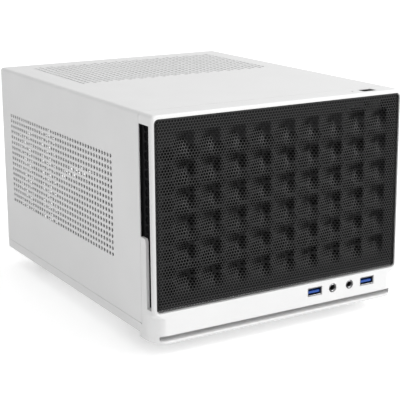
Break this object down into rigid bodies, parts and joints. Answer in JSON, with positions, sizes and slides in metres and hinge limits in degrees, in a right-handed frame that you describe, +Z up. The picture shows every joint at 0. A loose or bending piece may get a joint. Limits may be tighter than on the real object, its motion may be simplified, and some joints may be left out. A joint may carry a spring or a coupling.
{
  "type": "desktop computer",
  "caption": "Low cube-format desktop computer: dimpled black mesh front in a white frame, white folded-steel cover, rear sockets, and the mainboard, supply and fans inside.",
  "frame": {"origin": "on the ground under the middle of the object's box", "axes": "+X to the right seen from the front, +Y to the rear, +Z up"},
  "size_m": [0.222, 0.29, 0.181],
  "materials": {
    "white_plastic": "fine satin",
    "white_steel": "fine-textured powder coat",
    "black_steel": "satin black paint on perforated steel",
    "black_plastic": "satin",
    "bright_metal": "plain plated steel",
    "rubber": "matt",
    "board_green": "solder mask",
    "aluminium": "satin",
    "brass": "turned",
    "lens": "clear, frosted",
    "cable_sleeve": "woven sleeve"
  },
  "bodies": {
    "chassis": {"power_switch": "black_plastic", "usb_port_left": "bright_metal", "usb_port_right": "bright_metal", "audio_jack_left": "bright_metal", "audio_jack_right": "bright_metal", "front_io_board": "board_green", "base_pan": "white_steel", "front_wall": "black_steel", "rear_panel": "white_steel", "top_rail_left": "white_steel", "top_rail_right": "white_steel", "foot_front_left": "rubber", "foot_front_right": "rubber", "foot_rear_left": "rubber", "foot_rear_right": "rubber", "slot_cover_1": "bright_metal", "slot_cover_2": "bright_metal", "drive_bracket": "white_steel", "solid_state_drive": "aluminium", "front_fan_frame": "black_plastic", "psu_housing": "bright_metal", "psu_fan_frame": "black_plastic", "psu_fan_guard": "bright_metal", "psu_inlet": "black_plastic", "motherboard": "board_green", "standoff_1": "brass", "standoff_2": "brass", "standoff_3": "brass", "standoff_4": "brass", "io_shield": "bright_metal", "audio_stack": "bright_metal", "network_stack": "bright_metal", "usb_stack": "bright_metal", "display_stack": "bright_metal", "processor_socket": "black_plastic", "processor": "aluminium", "cooler_heatsink": "aluminium", "cooler_fan_frame": "black_plastic", "memory_slot_1": "black_plastic", "memory_slot_2": "black_plastic", "memory_module_1": "board_green", "memory_module_2": "board_green", "expansion_slot": "black_plastic", "power_connector": "black_plastic", "main_power_cable": "cable_sleeve", "front_panel_cable": "cable_sleeve", "drive_cable": "cable_sleeve"},
    "front_panel": {"front_bezel": "white_plastic", "front_mesh": "black_steel", "mesh_frame": "black_plastic", "indicator_lens": "lens"},
    "power_button": {"power_button": "black_plastic"},
    "cover": {"top_cover": "white_steel"},
    "thumbscrew_right": {"thumbscrew_right": "bright_metal"},
    "thumbscrew_left": {"thumbscrew_left": "bright_metal"},
    "thumbscrew_top": {"thumbscrew_top": "bright_metal"},
    "front_fan_rotor": {"front_fan_rotor": "black_plastic"},
    "cooler_fan_rotor": {"cooler_fan_rotor": "black_plastic"},
    "psu_fan_rotor": {"psu_fan_rotor": "black_plastic"},
    "psu_switch": {"psu_switch": "black_plastic"}
  },
  "joints": [
    {"name": "front_panel_pull", "type": "slide", "parent": "chassis", "child": "front_panel", "axis": [0, -1, 0], "range_m": [0, 0.05]},
    {"name": "power_button_press", "type": "slide", "parent": "front_panel", "child": "power_button", "axis": [0, 0, -1], "range_m": [0, 0.0012], "stiffness_N_per_m": 600, "springref_m": -0.001},
    {"name": "cover_slide", "type": "slide", "parent": "chassis", "child": "cover", "axis": [0, 1, 0], "range_m": [0, 0.27]},
    {"name": "thumbscrew_right_turn", "type": "hinge", "parent": "cover", "child": "thumbscrew_right", "pos_m": [0.1, 0.14, 0.079], "axis": [0, 1, 0], "continuous": true},
    {"name": "thumbscrew_left_turn", "type": "hinge", "parent": "cover", "child": "thumbscrew_left", "pos_m": [-0.1, 0.14, 0.15], "axis": [0, 1, 0], "continuous": true},
    {"name": "thumbscrew_top_turn", "type": "hinge", "parent": "cover", "child": "thumbscrew_top", "pos_m": [-0.076, 0.14, 0.1715], "axis": [0, 1, 0], "continuous": true},
    {"name": "front_fan_spin", "type": "hinge", "parent": "chassis", "child": "front_fan_rotor", "pos_m": [0, -0.1064, 0.107], "axis": [0, 1, 0], "continuous": true},
    {"name": "cooler_fan_spin", "type": "hinge", "parent": "chassis", "child": "cooler_fan_rotor", "pos_m": [0.015, 0.055, 0.0688], "axis": [0, 0, 1], "continuous": true},
    {"name": "psu_fan_spin", "type": "hinge", "parent": "chassis", "child": "psu_fan_rotor", "pos_m": [0.024, 0.062, 0.1614], "axis": [0, 0, 1], "continuous": true},
    {"name": "psu_switch_rock", "type": "hinge", "parent": "chassis", "child": "psu_switch", "pos_m": [-0.002, 0.1329, 0.1065], "axis": [-1, 0, 0], "range_deg": [0, 14]}
  ]
}
